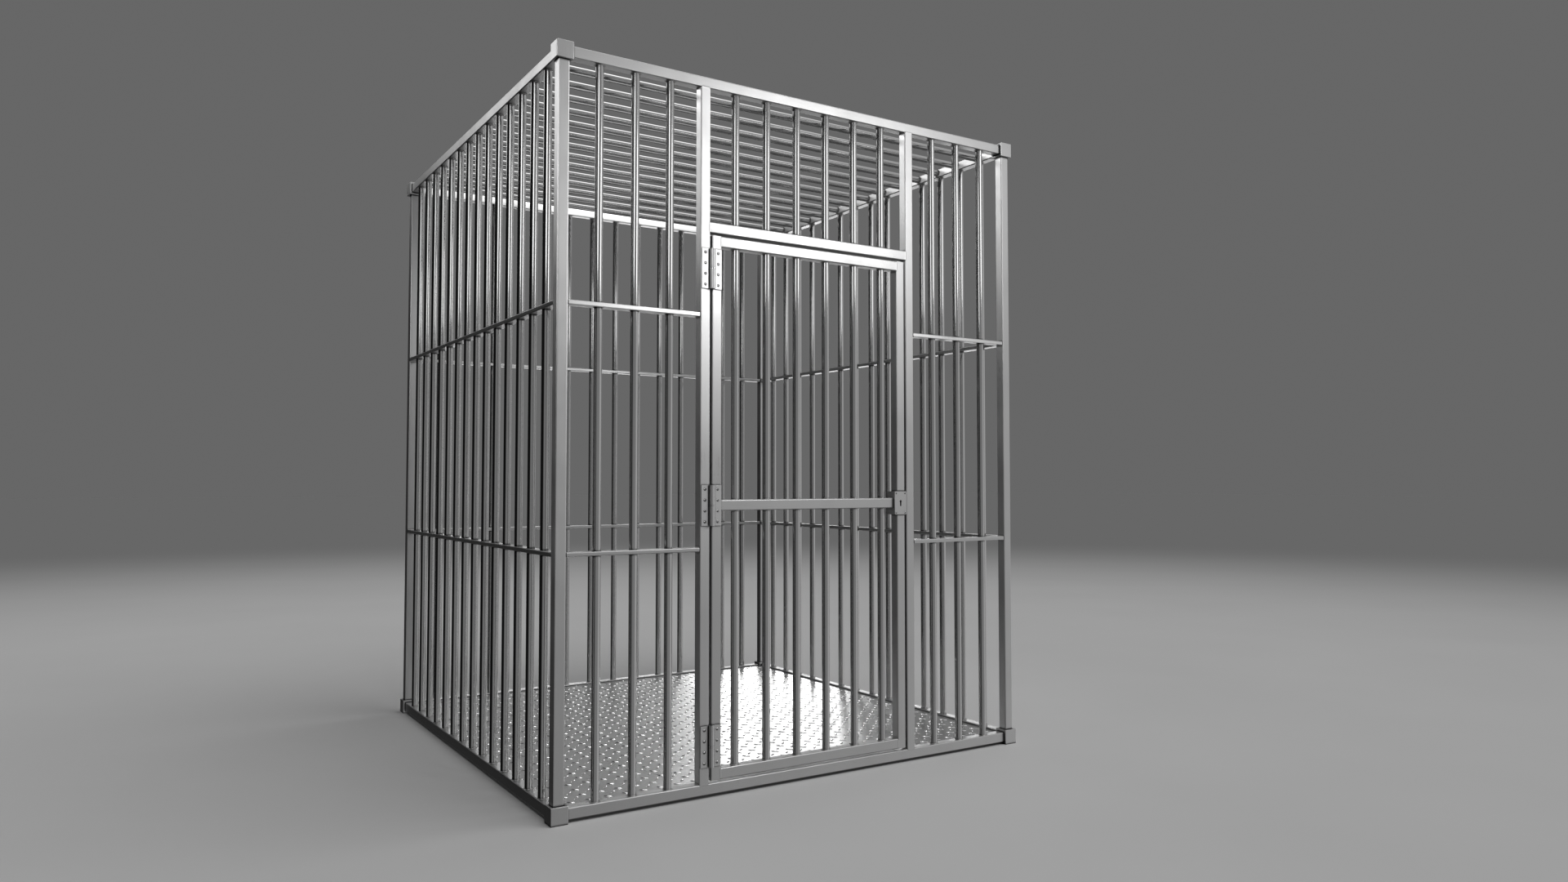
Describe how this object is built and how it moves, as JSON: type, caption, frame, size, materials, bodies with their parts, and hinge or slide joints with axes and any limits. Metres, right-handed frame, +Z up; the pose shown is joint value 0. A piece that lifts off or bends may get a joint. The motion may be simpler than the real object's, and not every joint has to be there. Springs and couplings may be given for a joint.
{
  "type": "kennel cage",
  "caption": "Walk-in kennel cage of square steel tube and round bars, with a barred roof, tread-plate floor and a hinged lockable door.",
  "frame": {"origin": "floor centre of the cage, under the middle of the tube frame and level with the undersides of the corner blocks", "axes": "+Z up, -Y out through the door at the front, +X towards the lock side of the door"},
  "size_m": [2, 2.0094, 2.5],
  "materials": {
    "tube_steel": "satin brushed square tube",
    "bar_steel": "polished round tube",
    "flat_bar": "satin flat bar",
    "corner_block": "satin milled block",
    "tread_plate": "semi-bright diamond tread plate",
    "hinge_steel": "satin pressed steel",
    "fastener": "bright domed screws",
    "lock_steel": "satin lock case",
    "dark_steel": "oiled plain steel"
  },
  "bodies": {
    "frame": {"corner_blocks_bottom": "corner_block", "corner_blocks_top": "corner_block", "post_front_left": "tube_steel", "post_front_right": "tube_steel", "post_back_left": "tube_steel", "post_back_right": "tube_steel", "bottom_rail_front": "tube_steel", "bottom_rail_back": "tube_steel", "bottom_rail_left": "tube_steel", "bottom_rail_right": "tube_steel", "top_rail_front": "tube_steel", "top_rail_back": "tube_steel", "top_rail_left": "tube_steel", "top_rail_right": "tube_steel", "hinge_jamb": "tube_steel", "lock_jamb": "tube_steel", "door_header": "tube_steel", "front_left_lower_mid_rail": "flat_bar", "front_left_upper_mid_rail": "flat_bar", "front_right_lower_mid_rail": "flat_bar", "front_right_upper_mid_rail": "flat_bar", "left_lower_mid_rail": "flat_bar", "left_upper_mid_rail": "flat_bar", "right_lower_mid_rail": "flat_bar", "right_upper_mid_rail": "flat_bar", "back_lower_mid_rail": "flat_bar", "back_upper_mid_rail": "flat_bar", "front_left_bars": "bar_steel", "front_right_bars": "bar_steel", "transom_bars": "bar_steel", "left_bars": "bar_steel", "right_bars": "bar_steel", "back_bars": "bar_steel", "roof_bars": "bar_steel", "floor_tread_plate": "tread_plate", "floor_joists": "dark_steel", "top_hinge_frame_leaf": "hinge_steel", "middle_hinge_frame_leaf": "hinge_steel", "bottom_hinge_frame_leaf": "hinge_steel", "hinge_pins": "dark_steel", "hinge_washers": "hinge_steel", "hinge_frame_screws": "fastener", "strike_plate": "lock_steel"},
    "door": {"door_hinge_stile": "tube_steel", "door_lock_stile": "tube_steel", "door_top_rail": "tube_steel", "door_bottom_rail": "tube_steel", "door_mid_rail": "tube_steel", "door_upper_bars": "bar_steel", "door_lower_bars": "bar_steel", "top_hinge_door_leaf": "hinge_steel", "middle_hinge_door_leaf": "hinge_steel", "bottom_hinge_door_leaf": "hinge_steel", "hinge_door_screws": "fastener", "lock_case": "lock_steel", "lock_cover": "lock_steel", "lock_cover_screws": "fastener", "lock_posts": "dark_steel", "bolt_spring": "dark_steel"},
    "lock_bolt": {"lock_bolt": "lock_steel"}
  },
  "joints": [
    {"name": "door_swing", "type": "hinge", "parent": "frame", "child": "door", "pos_m": [-0.43013, -0.9995, 0.996], "axis": [0, 0, -1], "range_deg": [0, 170]},
    {"name": "bolt_throw", "type": "slide", "parent": "door", "child": "lock_bolt", "axis": [1, 0, 0], "range_m": [0, 0.016]}
  ]
}
